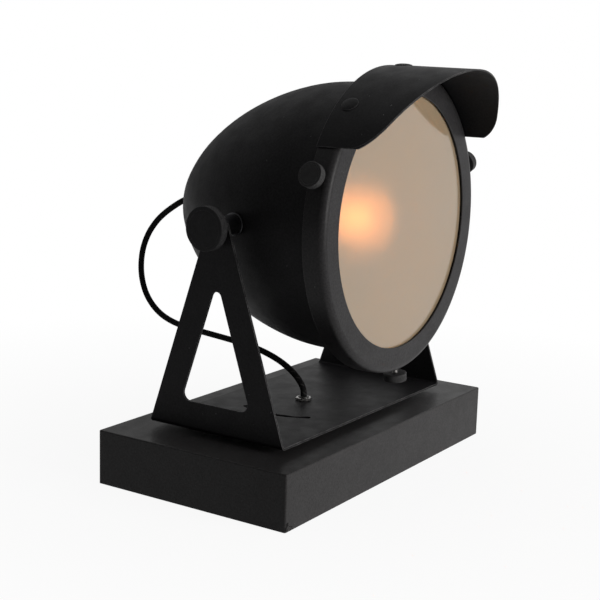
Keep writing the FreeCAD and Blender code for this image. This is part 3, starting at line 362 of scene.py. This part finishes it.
MATERIALS = {
    "base_paint": enamel("base_paint", rgb(0.032, 0.0308, 0.0312), 0.40, 0.10, 0.6),
    # The yoke's and visor's pale edge lines are mostly a painted highlight of their lit sheet edges.
    "yoke_paint": enamel("yoke_paint", rgb(0.0140, 0.0135, 0.0145), 0.44, 0.08, 1.0, 0.14),
    "bowl_paint": enamel("bowl_paint", rgb(0.016, 0.0155, 0.0165), 0.58, 0.08, 0.3, lining=BOWL_LINING),
    "bezel_paint": enamel("bezel_paint", rgb(0.028, 0.027, 0.028), 0.38, 0.10, 0.5),
    "visor_paint": enamel("visor_paint", rgb(0.0125, 0.0122, 0.013), 0.52, 0.075, 1.0, 0.12),
    "zinc_steel": metal("zinc_steel", rgb(0.14, 0.14, 0.135), 0.5),
    "dark_steel": metal("dark_steel", rgb(0.05, 0.05, 0.053), 0.40),
    "bright_nickel": metal("bright_nickel", rgb(0.42, 0.41, 0.40), 0.26),
    "brass": metal("brass", rgb(0.70, 0.50, 0.22), 0.28),
    "black_rubber": plastic("black_rubber", rgb(0.012, 0.012, 0.012), 0.75, 0.1),
    "pad_rubber": plastic("pad_rubber", rgb(0.012, 0.012, 0.012), 0.85, 0.1),
    "black_plastic": plastic("black_plastic", rgb(0.018, 0.018, 0.019), 0.5),
    # The knob and thumb-screw rims are paler on their edges partly as a painted highlight.
    "knob_plastic": plastic("knob_plastic", rgb(0.015, 0.0148, 0.0155), 0.55, 0.10, wear_and_highlight=0.9),
    "thumb_black": plastic("thumb_black", rgb(0.030, 0.0295, 0.030), 0.5, 0.15, wear_and_highlight=0.7),
    "white_plastic": plastic("white_plastic", rgb(0.60, 0.59, 0.56), 0.4),
    "cord_braid": braid(),
    "frosted_glass": frosted_glass(),
    "bulb_opal": opal_glass(),
    "bulb_core": lamp_core(),
    "bulb_aluminium": metal("bulb_aluminium", rgb(0.75, 0.75, 0.76), 0.3),
    "porcelain": plastic("porcelain", rgb(0.60, 0.58, 0.54), 0.2, 0.5),
}


def dress_nodes():
    """Gives every CAD node the look of its material slot."""
    for part in frame["record"]["subparts"]:
        data = nodes[part["node"]].data
        data.materials.clear()
        data.materials.append(MATERIALS[part["material_slot"]])


def add_piece(name, mesh, body, slot, replaced=()):
    """A finished mesh as a piece that may stand for CAD nodes, and rides on a body unless that is None."""
    piece = bpy.data.objects.new(name, mesh)
    bpy.context.scene.collection.objects.link(piece)
    mesh.materials.clear()
    mesh.materials.append(MATERIALS[slot])
    if body:
        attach(piece, body)
    if replaced:
        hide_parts(*replaced)
    return piece


# The free cord between the lamp stem and the swivel stem

CORD_DIAMETER = 6 * MM
CORD_ROUTE_MM = (
    (0, 137.9, 238),
    (0, 143, 238),
    (0, 148, 236.7),
    (0, 154, 233.6),
    (0.5, 162.5, 228.7),
    (1, 173.5, 221.5),
    (1.5, 185, 212),
    (2, 197, 196.8),
    (2.5, 204.9, 177.6),
    (3, 206.4, 155.4),
    (3, 200, 135),
    (3, 186, 119.6),
    (2.5, 167.5, 111),
    (1.5, 143.5, 107.2),
    (1, 113, 105),
    (0, 80, 102.6),
    (-0.5, 54, 99.2),
    (0, 35.5, 93.8),
    (0, 22, 88),
    (0, 11.5, 81.2),
    (0, 4.4, 74.3),
    (0, 1.1, 69),
    (0, 0, 65),
    (0, 0, 61),
)
CORD_STEPS_PER_SPAN = 60
CORD_STEP = 0.5 * MM
CORD_SIDES = 64
YARNS_EACH_WAY = 8
YARN_PITCH = 15 * MM
YARN_RELIEF = 0.17 * MM
YARN_ROUNDNESS = 0.6
PALE_YARN_EVERY = 4


def route_line(route):
    """Points along the NURBS spline that has the route's points as its control points."""
    data = bpy.data.curves.new("route", "CURVE")
    data.dimensions = "3D"
    spline = data.splines.new("NURBS")
    spline.points.add(len(route) - 1)
    for point, place in zip(spline.points, route):
        point.co = (*place, 1)
    spline.order_u = 3
    spline.use_endpoint_u = True
    spline.resolution_u = CORD_STEPS_PER_SPAN
    carrier = bpy.data.objects.new("route", data)
    bpy.context.scene.collection.objects.link(carrier)
    mesh = bpy.data.meshes.new_from_object(carrier)
    line = [vertex.co.copy() for vertex in mesh.vertices]
    bpy.data.objects.remove(carrier)
    bpy.data.curves.remove(data)
    bpy.data.meshes.remove(mesh)
    return line


def evenly(line, step):
    """The same line with points a fixed step apart."""
    placed = [line[0]]
    spare = 0.0
    for start, end in zip(line, line[1:]):
        run = (end - start).length
        at = step - spare
        while at < run:
            placed.append(start.lerp(end, at / run))
            at += step
        spare = run - (at - step)
    placed[-1] = line[-1]
    return placed


def weave(along, round_angle):
    """Height and yarn shade of the braid at a place on the cord: yarns wound both ways, over and under."""
    turns = along / YARN_PITCH
    right = (round_angle / math.tau - turns) * YARNS_EACH_WAY
    left = (round_angle / math.tau + turns) * YARNS_EACH_WAY
    right_rise = abs(math.cos(math.pi * right))
    left_rise = abs(math.cos(math.pi * left))
    right_over = (round(right) + round(left)) % 2 == 0
    rise = right_rise if right_over else left_rise
    index = round(right) if right_over else round(left)
    shade = 1.0 if index % PALE_YARN_EVERY == 0 else 0.0
    return rise**YARN_ROUNDNESS, shade * rise


def braided_tube(name, line, diameter):
    """Tube round a line, with the braid's relief inside its diameter."""
    mesh = bpy.data.meshes.new(name)
    build = bmesh.new()
    yarn = build.verts.layers.float.new("yarn")
    rings = []
    side = None
    along = 0.0
    for index, centre in enumerate(line):
        before = line[max(index - 1, 0)]
        after = line[min(index + 1, len(line) - 1)]
        tangent = (after - before).normalized()
        if side is None:
            side = tangent.orthogonal().normalized()
        side = (side - tangent * side.dot(tangent)).normalized()
        across = tangent.cross(side)
        if index:
            along += (centre - line[index - 1]).length
        ring = []
        for step in range(CORD_SIDES):
            angle = math.tau * step / CORD_SIDES
            height, shade = weave(along, angle)
            radius = diameter / 2 - YARN_RELIEF * (1 - height)
            vertex = build.verts.new(centre + (side * math.cos(angle) + across * math.sin(angle)) * radius)
            vertex[yarn] = shade
            ring.append(vertex)
        rings.append(ring)
    for first, second in zip(rings, rings[1:]):
        for step in range(CORD_SIDES):
            following = (step + 1) % CORD_SIDES
            build.faces.new((first[step], first[following], second[following], second[step]))
    build.faces.new(reversed(rings[0]))
    build.faces.new(rings[-1])
    build.to_mesh(mesh)
    build.free()
    mesh.shade_smooth()
    return mesh


def add_cord():
    """The braided cord, which bends between the head and the yoke."""
    route = [Vector(point) * MM for point in CORD_ROUTE_MM]
    line = evenly(route_line(route), CORD_STEP)
    mesh = braided_tube("lamp_cord_braid", line, CORD_DIAMETER)
    cord = add_piece(mesh.name, mesh, None, "cord_braid", ["lamp_cord"])
    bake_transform(cord)


# Turned and threaded pieces


def turned_mesh(name, profile, start, axis, sides, relief=None, crease=None):
    """Surface turned about an axis from (radius, distance) pairs; relief(radius, distance, angle) moves it.

    A radius of zero at an end closes it with a fan. Edges sharper than crease stay sharp."""
    first = axis.orthogonal().normalized()
    second = axis.cross(first)
    build = bmesh.new()
    rings = []
    for radius, distance in profile:
        centre = start + axis * distance
        if radius == 0:
            rings.append([build.verts.new(centre)])
            continue
        ring = []
        for step in range(sides):
            angle = math.tau * step / sides
            moved = relief(radius, distance, angle) if relief else radius
            out = first * math.cos(angle) + second * math.sin(angle)
            ring.append(build.verts.new(centre + out * moved))
        rings.append(ring)
    if profile[0] == profile[-1]:
        rings[-1] = rings[0]
    for low, high in zip(rings, rings[1:]):
        for step in range(sides):
            following = (step + 1) % sides
            corners = (low[step % len(low)], low[following % len(low)],
                       high[following % len(high)], high[step % len(high)])
            distinct = list(dict.fromkeys(corners))
            if len(distinct) > 2:
                build.faces.new(distinct)
    loose = [vertex for vertex in build.verts if not vertex.link_faces]
    bmesh.ops.delete(build, geom=loose)
    bmesh.ops.recalc_face_normals(build, faces=build.faces)
    mesh = bpy.data.meshes.new(name)
    build.to_mesh(mesh)
    build.free()
    mesh.shade_smooth()
    if crease is not None:
        mesh.set_sharp_from_angle(angle=crease)
    return mesh


def joined_mesh(name, meshes, crease=None):
    """One mesh made of several, which are removed."""
    build = bmesh.new()
    for mesh in meshes:
        build.from_mesh(mesh)
        bpy.data.meshes.remove(mesh)
    whole = bpy.data.meshes.new(name)
    build.to_mesh(whole)
    build.free()
    whole.shade_smooth()
    if crease is not None:
        whole.set_sharp_from_angle(angle=crease)
    return whole


CREASE = math.radians(32)
CORNER_STEPS = 5
CORNER_TURNS = [math.pi / 2 * step / CORNER_STEPS for step in range(CORNER_STEPS + 1)]


def opening(radius, distance, size):
    """(radius, distance) pairs of a rounded corner from a face out to a rim."""
    return [
        (radius - size * (1 - math.sin(turn)), distance + size * (1 - math.cos(turn)))
        for turn in CORNER_TURNS
    ]


def closing(radius, distance, size):
    """(radius, distance) pairs of a rounded corner from a rim in to a face."""
    return [
        (radius - size * (1 - math.cos(turn)), distance - size * (1 - math.sin(turn)))
        for turn in CORNER_TURNS
    ]


def along_rim(radius, low, high, step):
    """(radius, distance) pairs strictly between two places on a rim."""
    count = round((high - low) / step)
    return [(radius, low + (high - low) * index / count) for index in range(1, count)]


def triangle_wave(value):
    """0 at whole numbers, 1 half-way between them."""
    return 1 - abs(2 * (value % 1.0) - 1)


KNURL_PITCH = 2.0 * MM
KNURL_DEPTH = 0.45 * MM
KNURL_STEPS = 8
KNURL_SLOPE = 1.5
KNURL_ENDS = 3
SAME_RADIUS = 0.001 * MM


def diamond_knurl(outer, low, high):
    """Relief of crossed grooves on the rim between two distances, and the sides that it needs."""
    around = round(math.tau * outer / KNURL_PITCH)

    def relief(radius, distance, angle):
        if radius < outer - SAME_RADIUS or not low <= distance <= high:
            return radius
        across = angle / math.tau * around
        along = (distance - low) / KNURL_PITCH
        groove = min(triangle_wave(across + along), triangle_wave(across - along))
        rise = min(1.0, KNURL_SLOPE * groove)
        fade = min(1.0, KNURL_ENDS * along, KNURL_ENDS * (high - distance) / KNURL_PITCH)
        return radius - KNURL_DEPTH * (1 - rise) * fade

    return relief, around * KNURL_STEPS


def knurled_mesh(name, inner_profile, outer, low, high, back_edge, face_edge, face_profile, start, axis):
    """Knurled disc between two distances, with given profiles inside its back edge and on its face."""
    rim_low = low + back_edge
    rim_high = high - face_edge
    relief, sides = diamond_knurl(outer, rim_low, rim_high)
    profile = inner_profile + opening(outer, low, back_edge)
    profile += along_rim(outer, rim_low, rim_high, KNURL_PITCH / KNURL_STEPS)
    profile += closing(outer, high, face_edge) + face_profile
    return turned_mesh(name, profile, start, axis, sides, relief, CREASE)


KNOB_THICK = 8.5 * MM
KNOB_HUB_RADIUS = 12 * MM
KNOB_BORE_RADIUS = 7 * MM
KNOB_BACK_EDGE = 1.2 * MM
KNOB_FACE_EDGE = 0.6 * MM
KNOB_DISH_RADIUS = 15.5 * MM
KNOB_DISH_DEPTH = 0.12 * MM
KNOB_DISH_RINGS = (0.66, 0.33, 0)


def add_knobs():
    """Tilt clamp knobs: a hub against the washer, a knurled rim and a face with a shallow dish."""
    for name, side in (("left", -1), ("right", 1)):
        low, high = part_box("knob_" + name)
        start = Vector((low.x if side > 0 else high.x, TILT_AXIS.y, TILT_AXIS.z))
        length = high.x - low.x
        back = length - KNOB_THICK
        hub = [(KNOB_BORE_RADIUS, back), (KNOB_BORE_RADIUS, 0)]
        hub += opening(KNOB_HUB_RADIUS, 0, KNOB_FACE_EDGE) + [(KNOB_HUB_RADIUS, back)]
        floor = length - KNOB_DISH_DEPTH
        dish = [(KNOB_DISH_RADIUS + KNOB_DISH_DEPTH, length), (KNOB_DISH_RADIUS, floor)]
        dish += [(KNOB_DISH_RADIUS * share, floor) for share in KNOB_DISH_RINGS]
        mesh = knurled_mesh("knob_%s_knurled" % name, hub, (high.z - low.z) / 2, back, length,
                            KNOB_BACK_EDGE, KNOB_FACE_EDGE, dish, start, X * side)
        add_piece(mesh.name, mesh, name + "_knob", "knob_plastic", ["knob_" + name])


def thread(pitch, depth, low, high):
    """Relief of one spiral groove, which runs out at both ends."""

    def relief(radius, distance, angle):
        if not low < distance < high:
            return radius
        fade = min(1.0, (distance - low) / pitch, (high - distance) / pitch)
        return radius - depth * fade * (1 - triangle_wave(distance / pitch - angle / math.tau))

    return relief


THREAD_STEPS = 8
THREAD_SIDES = 48
THREAD_DEPTH_SHARE = 0.55


def threaded_mesh(name, start, axis, radius, length, pitch, bore=0.0):
    """Threaded rod, or a tube where bore is given."""
    depth = THREAD_DEPTH_SHARE * pitch
    profile = [(bore, 0), (radius - depth, 0)] + along_rim(radius, 0, length, pitch / THREAD_STEPS)
    profile += [(radius - depth, length), (bore, length)]
    if bore:
        profile.append((bore, 0))
    groove = thread(pitch, depth, depth, length - depth)

    def relief(here, distance, angle):
        return groove(here, distance, angle) if here == radius else here

    return turned_mesh(name, profile, start, axis, THREAD_SIDES, relief, CREASE)


def reach(name, direction):
    """Least and greatest distance of a CAD node along a direction."""
    spans = [vertex.co.dot(direction) for vertex in nodes[name].data.vertices]
    return min(spans), max(spans)


M5_RADIUS = 2.5 * MM
M5_PITCH = 0.8 * MM
THUMB_INSERT = 5 * MM
THUMB_BACK_EDGE = 0.8 * MM
THUMB_FACE_EDGE = 0.5 * MM
THUMB_GROOVE_RADIUS = 8.6 * MM
THUMB_GROOVE_DEPTH = 0.35 * MM


def add_thumbscrews():
    """The bezel's screws: a knurled head with a turned groove in its face, and a threaded shank."""
    for name in ("left", "right", "bottom"):
        head = "thumb_head_" + name
        screw = "thumb_screw_" + name
        body = name + "_thumbscrew"
        low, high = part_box(head)
        outer = (high.y - low.y) / 2
        middle = (low + high) / 2
        out = Vector((middle.x - LENS_CENTRE.x, 0, middle.z - LENS_CENTRE.z)).normalized()
        centre = Vector((LENS_CENTRE.x, middle.y, LENS_CENTRE.z))
        rise = centre.dot(out)
        near, far = (span - rise for span in reach(head, out))
        thick = far - near
        shank = [(M5_RADIUS, THUMB_INSERT), (M5_RADIUS, 0)]
        groove = [
            (THUMB_GROOVE_RADIUS + THUMB_GROOVE_DEPTH, thick),
            (THUMB_GROOVE_RADIUS, thick - THUMB_GROOVE_DEPTH),
            (THUMB_GROOVE_RADIUS - THUMB_GROOVE_DEPTH, thick),
            (THUMB_GROOVE_RADIUS / 2, thick),
            (0, thick),
        ]
        mesh = knurled_mesh(head + "_knurled", shank, outer, 0, thick,
                            THUMB_BACK_EDGE, THUMB_FACE_EDGE, groove, centre + out * near, out)
        add_piece(mesh.name, mesh, body, "thumb_black", [head])
        near, far = (span - rise for span in reach(screw, out))
        start = centre + out * near
        mesh = threaded_mesh(screw + "_thread", start, out, M5_RADIUS, far - near, M5_PITCH)
        add_piece(mesh.name, mesh, body, "bright_nickel", [screw])


M10_RADIUS = 5 * MM
M10_PITCH = 1.0 * MM
M10_BORE = 3.5 * MM
NUT_SIDES = 72
NUT_FACE_SHARE = 0.96
NUT_CHAMFER = math.radians(30)


def hex_mesh(name, start, axis, flats, thick, bore):
    """Hexagon nut with turned chamfers at both faces."""
    corner = flats / 2 / math.cos(math.pi / 6)
    face = NUT_FACE_SHARE * flats / 2
    chamfer = (corner - face) * math.tan(NUT_CHAMFER)

    def relief(radius, distance, angle):
        if radius < face:
            return radius
        from_flat = (angle + math.pi / 6) % (math.pi / 3) - math.pi / 6
        edge = min(distance, thick - distance) / math.tan(NUT_CHAMFER)
        return min(face + edge, flats / 2 / math.cos(from_flat))

    steps = [chamfer * share for share in (0, 0.25, 0.5, 0.75, 1)]
    profile = [(bore, chamfer), (bore + chamfer / 2, 0)]
    profile += [(corner, distance) for distance in steps]
    profile += [(corner, thick - distance) for distance in reversed(steps)]
    profile += [(bore + chamfer / 2, thick), (bore, thick - chamfer), (bore, chamfer)]
    return turned_mesh(name, profile, start, axis, NUT_SIDES, relief, CREASE)


# Each stem with its nut, their body, the nut's slot, the stem's axis and a point on it
STEMS = (
    ("swivel_stem", "swivel_top_nut", "yoke", "bright_nickel", Z, Vector((0, 0, 0))),
    ("lamp_stem", "stem_rear_nut", "head", "zinc_steel", Y, Vector((0, 0, TILT_AXIS.z))),
)


def add_stems():
    """The two hollow threaded stems and the nuts that show on them."""
    for stem, nut, body, nut_slot, axis, foot in STEMS:
        near, far = (corner.dot(axis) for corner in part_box(stem))
        mesh = threaded_mesh(stem + "_thread", foot + axis * near, axis, M10_RADIUS, far - near,
                             M10_PITCH, M10_BORE)
        add_piece(mesh.name, mesh, body, "zinc_steel", [stem])
        low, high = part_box(nut)
        flats = min(high[index] - low[index] for index in range(3) if not axis[index])
        near, far = low.dot(axis), high.dot(axis)
        mesh = hex_mesh(nut + "_chamfered", foot + axis * near, axis, flats, far - near, M10_RADIUS)
        add_piece(mesh.name, mesh, body, nut_slot, [nut])


STUD_RADIUS = 4 * MM
WASHER_CHAMFER = 0.3 * MM
WASHER_SIDES = 96


def add_bush_washers():
    """The washers between the bowl's pivot bosses and the legs, blackened, with turned chamfers."""
    low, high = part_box("bush_washers")
    outer = (high.z - low.z) / 2
    inner_face = -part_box("pivot_bosses")[0].x
    thick = high.x - inner_face
    profile = [
        (STUD_RADIUS, 0),
        (outer, 0),
        (outer, thick - WASHER_CHAMFER),
        (outer - WASHER_CHAMFER, thick),
        (STUD_RADIUS, thick),
        (STUD_RADIUS, 0),
    ]
    halves = []
    for side in (-1, 1):
        start = Vector((side * inner_face, TILT_AXIS.y, TILT_AXIS.z))
        halves.append(turned_mesh("half", profile, start, X * side, WASHER_SIDES))
    mesh = joined_mesh("bush_washers_turned", halves, CREASE)
    add_piece(mesh.name, mesh, "head", "dark_steel", ["bush_washers"])


RIVET_ANGLES = (50.0, 90.0, 130.0)
RIVET_THICK = 1.6 * MM
RIVET_RIM = 0.45 * MM
RIVET_SUNK = 0.5 * MM
RIVET_SHANK = 2 * MM
RIVET_LENGTH = 4.5 * MM
RIVET_FLATNESS = 2.6
RIVET_STEPS = 10
RIVET_SIDES = 64


def add_rivets():
    """The visor's lens-headed rivets: a low rim and a shallow dome."""
    low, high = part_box("visor_rivets")
    outer = (high.y - low.y) / 2
    sheet_top = high.z - TILT_AXIS.z - RIVET_THICK
    profile = [
        (0, -RIVET_LENGTH),
        (RIVET_SHANK, -RIVET_LENGTH),
        (RIVET_SHANK, -RIVET_SUNK),
        (outer, -RIVET_SUNK),
        (outer, RIVET_RIM),
    ]
    for step in range(1, RIVET_STEPS + 1):
        share = 1 - step / RIVET_STEPS
        rise = (RIVET_THICK - RIVET_RIM) * (1 - share**RIVET_FLATNESS)
        profile.append((outer * share, RIVET_RIM + rise))
    rivets = []
    for angle in RIVET_ANGLES:
        turn = math.radians(angle)
        out = Vector((math.cos(turn), 0, math.sin(turn)))
        start = Vector((0, (low.y + high.y) / 2, TILT_AXIS.z)) + out * sheet_top
        rivets.append(turned_mesh("rivet", profile, start, out, RIVET_SIDES))
    mesh = joined_mesh("visor_rivets_domed", rivets, CREASE)
    add_piece(mesh.name, mesh, "head", "visor_paint", ["visor_rivets"])


# Millimetres from the base's left edge, up from its lower edge, and the lump's radius
WELD_LUMPS_MM = ((3.1, 2.9, 2.8), (6.6, 2.1, 2.0), (9.2, 1.9, 1.5), (3.6, 6.4, 1.5))
WELD_RISE = 1.5 * MM
WELD_SUNK = 0.4 * MM
WELD_STEPS = 6
WELD_SIDES = 32


def add_corner_weld():
    """A small lumpy weld low on the base's front face, next to its left edge."""
    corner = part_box("base_housing")[0]
    lumps = []
    for across, height, size in WELD_LUMPS_MM:
        start = corner + Vector((across, 0, height)) * MM
        radius = size * MM
        profile = [(0, -WELD_SUNK), (radius, -WELD_SUNK), (radius, 0)]
        for step in range(1, WELD_STEPS):
            turn = math.pi / 2 * step / WELD_STEPS
            profile.append((radius * math.cos(turn), WELD_RISE * math.sin(turn)))
        profile.append((0, WELD_RISE))
        lumps.append(turned_mesh("lump", profile, start, -Y, WELD_SIDES, crease=CREASE))
    mesh = joined_mesh("corner_weld", lumps)
    add_piece(mesh.name, mesh, "base", "base_paint")


def add_bulb_core():
    """The bulb's light source: a round head on a stalk, which shows only as a glow."""
    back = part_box("bulb_glass")[1].y
    start = Vector((0, back, core_centre().z))
    centre = back - core_centre().y
    profile = [(0, 0), (CORE_STALK_RADIUS, 0)]
    first_turn = math.asin(CORE_STALK_RADIUS / CORE_RADIUS)
    for step in range(CORE_STEPS):
        turn = first_turn + (math.pi - first_turn) * step / CORE_STEPS
        profile.append((CORE_RADIUS * math.sin(turn), centre - CORE_RADIUS * math.cos(turn)))
    profile.append((0, centre + CORE_RADIUS))
    mesh = turned_mesh("bulb_light_head", profile, start, -Y, CORE_SIDES, crease=CREASE)
    add_piece(mesh.name, mesh, "head", "bulb_opal")
    mesh.materials[0] = MATERIALS["bulb_core"]


# Light and room

FLOOR_SIZE = 24.0
FLOOR_CELLS = 8
FLOOR_BELOW = 0.2 * MM
SHADOW_START = 0.15
SHADOW_END = 0.7
SHADOW_SHARE = 0.08
FLOOR_SEEN = rgb(0.98, 0.98, 0.98)
FLOOR_BOUNCE = rgb(0.45, 0.45, 0.45)
WHITE = rgb(1, 1, 1)


def floor_material():
    """White where it is seen or mirrored, with the lamp's soft shadow near the lamp."""
    shader = Shader("floor_white")
    path = shader.node("LightPath").outputs
    seen = path["Is Camera Ray"]
    mirrored = shader.math("MAXIMUM", path["Is Glossy Ray"], path["Is Transmission Ray"])
    away = shader.node("VectorMath", {0: shader.place()}, operation="LENGTH").outputs["Value"]
    shade = shader.remap(away, SHADOW_START, SHADOW_END, SHADOW_SHARE, 0.0)
    white_seen = shader.math("MULTIPLY", seen, shader.math("SUBTRACT", 1.0, shade))
    share = shader.math("MAXIMUM", white_seen, mirrored)
    shader.set(base_color=shader.mix(seen, FLOOR_BOUNCE, FLOOR_SEEN), roughness=0.9, specular_ior_level=0.0)
    white = shader.node("Emission", {"Color": WHITE, "Strength": 1.0}).outputs[0]
    mixed = shader.node("MixShader", {0: share, 1: shader.surface.outputs[0], 2: white}).outputs[0]
    shader.tree.links.new(mixed, shader.output.inputs["Surface"])
    return shader.material


def add_floor():
    """A wide floor just under the lamp's pad."""
    mesh = bpy.data.meshes.new("floor")
    build = bmesh.new()
    bmesh.ops.create_grid(build, x_segments=FLOOR_CELLS, y_segments=FLOOR_CELLS, size=FLOOR_SIZE / 2)
    build.to_mesh(mesh)
    build.free()
    floor = bpy.data.objects.new("floor", mesh)
    floor.location = (0, 0, -FLOOR_BELOW)
    bpy.context.scene.collection.objects.link(floor)
    mesh.materials.append(floor_material())


# Directions that the world is brightest in: as light, as a mirrored room and as its bright side
LIT_FROM = (0.75, 0.30, 0.59)
MIRRORED_FROM = (1.0, 0.2, 0.0)
BRIGHT_SIDE = (0.95, -0.31, 0.0)


def add_world():
    """White to look at. What lights the lamp is darker on its left, and so is what the lamp mirrors."""
    world = bpy.data.worlds.new("studio")
    bpy.context.scene.world = world
    world.use_nodes = True
    room = Tree(world.node_tree)
    background = room.tree.nodes["Background"]
    path = room.node("LightPath").outputs
    direction = room.node("TexCoord").outputs["Generated"]
    lighting = room.remap(room.dot(direction, LIT_FROM), -0.4, 1.0, 0.01, 0.27)
    mirrored = room.remap(room.dot(direction, MIRRORED_FROM), -0.9, 0.3, 0.25, 1.0)
    side = room.remap(room.dot(direction, BRIGHT_SIDE), 0.45, 0.8, 0.45, 1.0)
    overhead = room.remap(room.dot(direction, tuple(Z)), 0.35, 0.6)
    mirrored = room.math("MULTIPLY", mirrored, room.mix_value(overhead, side, 1.0))
    is_mirrored = room.math("MAXIMUM", path["Is Glossy Ray"], path["Is Transmission Ray"])
    strength = room.mix_value(is_mirrored, lighting, mirrored)
    strength = room.mix_value(path["Is Camera Ray"], strength, 1.0)
    room.feed(background.inputs["Strength"], strength)
    room.feed(background.inputs["Color"], WHITE)


KEY_PLACE = Vector((0.1, -2.4, 0.60))
KEY_TARGET = Vector((0, 0, 0.2))
KEY_WIDTH = 1.3
KEY_HEIGHT = 0.8
KEY_POWER = 45.0
KEY_COLOUR = (1.0, 0.985, 0.97)


def add_key_light():
    """One soft light in front of the lens."""
    data = bpy.data.lights.new("key", "AREA")
    data.shape = "RECTANGLE"
    data.size = KEY_WIDTH
    data.size_y = KEY_HEIGHT
    data.energy = KEY_POWER
    data.color = KEY_COLOUR
    light = bpy.data.objects.new("key", data)
    light.location = KEY_PLACE
    light.rotation_euler = (KEY_TARGET - KEY_PLACE).to_track_quat("-Z", "Y").to_euler()
    bpy.context.scene.collection.objects.link(light)


add_camera()
dress_nodes()
add_cord()
add_knobs()
add_thumbscrews()
add_stems()
add_bush_washers()
add_rivets()
add_corner_weld()
add_bulb_core()
add_floor()
add_world()
add_key_light()
bpy.context.scene.view_settings.view_transform = "Standard"
